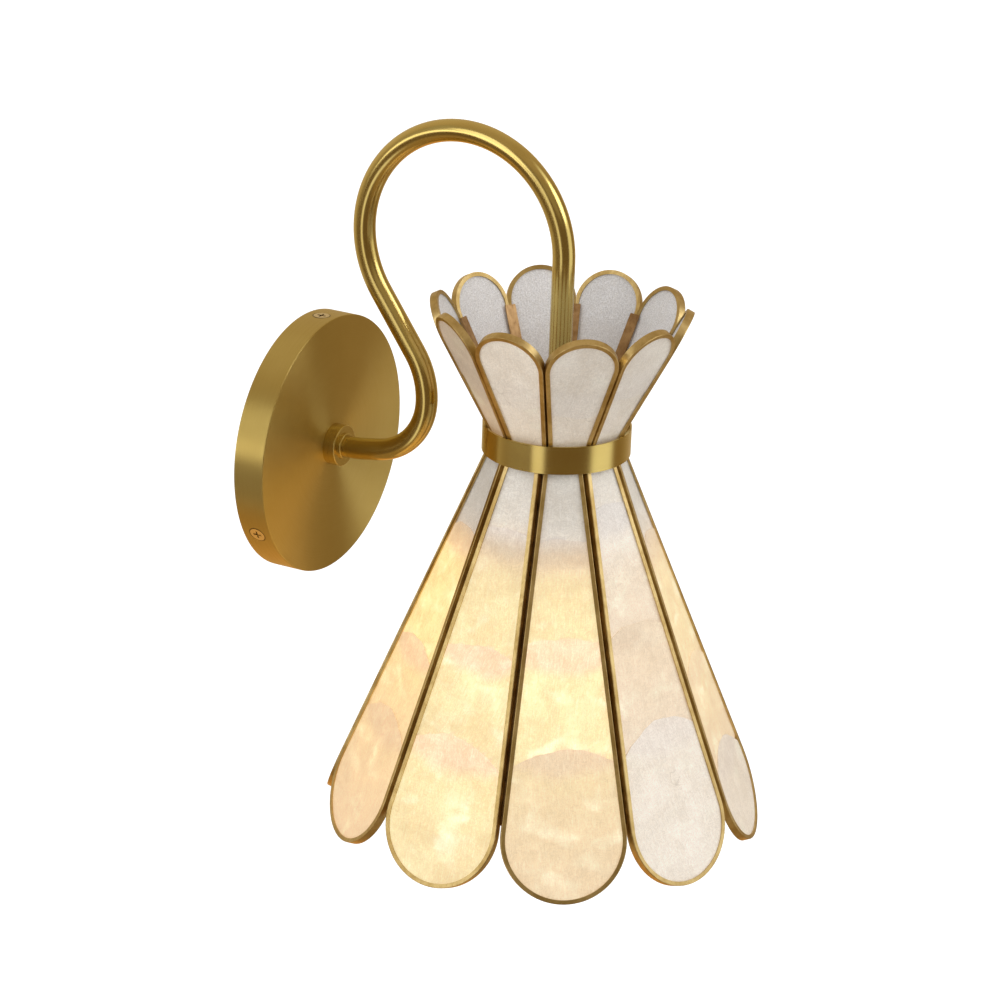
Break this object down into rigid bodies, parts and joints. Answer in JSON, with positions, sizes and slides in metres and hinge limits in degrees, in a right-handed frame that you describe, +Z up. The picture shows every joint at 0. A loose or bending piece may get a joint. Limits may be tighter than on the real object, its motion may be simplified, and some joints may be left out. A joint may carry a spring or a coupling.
{
  "type": "shell wall sconce",
  "caption": "Wall light: round brass backplate, thin tube arm looping up and over, and a hanging shade of shell petals in brass channels, flared above and below a collar band.",
  "frame": {"origin": "centre of the backplate's back face, on the wall", "axes": "+Y into the wall, +Z up; the lamp stands out from the wall towards -Y"},
  "size_m": [0.1988, 0.2281, 0.3163],
  "materials": {
    "brass": "satin, brushed",
    "copper_brass": "satin",
    "frame_brass": "satin, lightly aged",
    "steel": "zinc plated",
    "white_plastic": "matte",
    "black_plastic": "matte",
    "wire_sleeve": "matte",
    "contact_brass": "bright",
    "cap_metal": "bright",
    "frosted_glass": "frosted",
    "capiz": "satin, pearly"
  },
  "bodies": {
    "sconce": {"backplate": "brass", "rim_screws": "brass", "arm_boss": "brass", "arm_tube": "brass", "collar_band": "brass", "crown_armature": "copper_brass", "skirt_armature": "copper_brass", "wall_plate": "steel", "earth_screw": "steel", "arm_washer": "steel", "arm_lock_nut": "steel", "spider_plate": "steel", "spider_nut": "steel", "terminal_block": "white_plastic", "terminal_screws": "steel", "lead_wires": "wire_sleeve", "lamp_holder": "black_plastic", "holder_contacts": "contact_brass", "crown_frame_01": "frame_brass", "crown_frame_02": "frame_brass", "crown_frame_03": "frame_brass", "crown_frame_04": "frame_brass", "crown_frame_05": "frame_brass", "crown_frame_06": "frame_brass", "crown_frame_07": "frame_brass", "crown_frame_08": "frame_brass", "crown_frame_09": "frame_brass", "crown_frame_10": "frame_brass", "crown_shell_01": "capiz", "crown_shell_02": "capiz", "crown_shell_03": "capiz", "crown_shell_04": "capiz", "crown_shell_05": "capiz", "crown_shell_06": "capiz", "crown_shell_07": "capiz", "crown_shell_08": "capiz", "crown_shell_09": "capiz", "crown_shell_10": "capiz", "skirt_frame_01": "frame_brass", "skirt_frame_02": "frame_brass", "skirt_frame_03": "frame_brass", "skirt_frame_04": "frame_brass", "skirt_frame_05": "frame_brass", "skirt_frame_06": "frame_brass", "skirt_frame_07": "frame_brass", "skirt_frame_08": "frame_brass", "skirt_frame_09": "frame_brass", "skirt_frame_10": "frame_brass", "skirt_shell_01": "capiz", "skirt_shell_02": "capiz", "skirt_shell_03": "capiz", "skirt_shell_04": "capiz", "skirt_shell_05": "capiz", "skirt_shell_06": "capiz", "skirt_shell_07": "capiz", "skirt_shell_08": "capiz", "skirt_shell_09": "capiz", "skirt_shell_10": "capiz"},
    "bulb": {"bulb_cap": "cap_metal", "bulb_glass": "frosted_glass"}
  },
  "joints": [
    {"name": "bulb_unscrew", "type": "hinge", "parent": "sconce", "child": "bulb", "pos_m": [0, -0.13003, 0], "axis": [0, 0, -1], "range_deg": [0, 1620]}
  ]
}
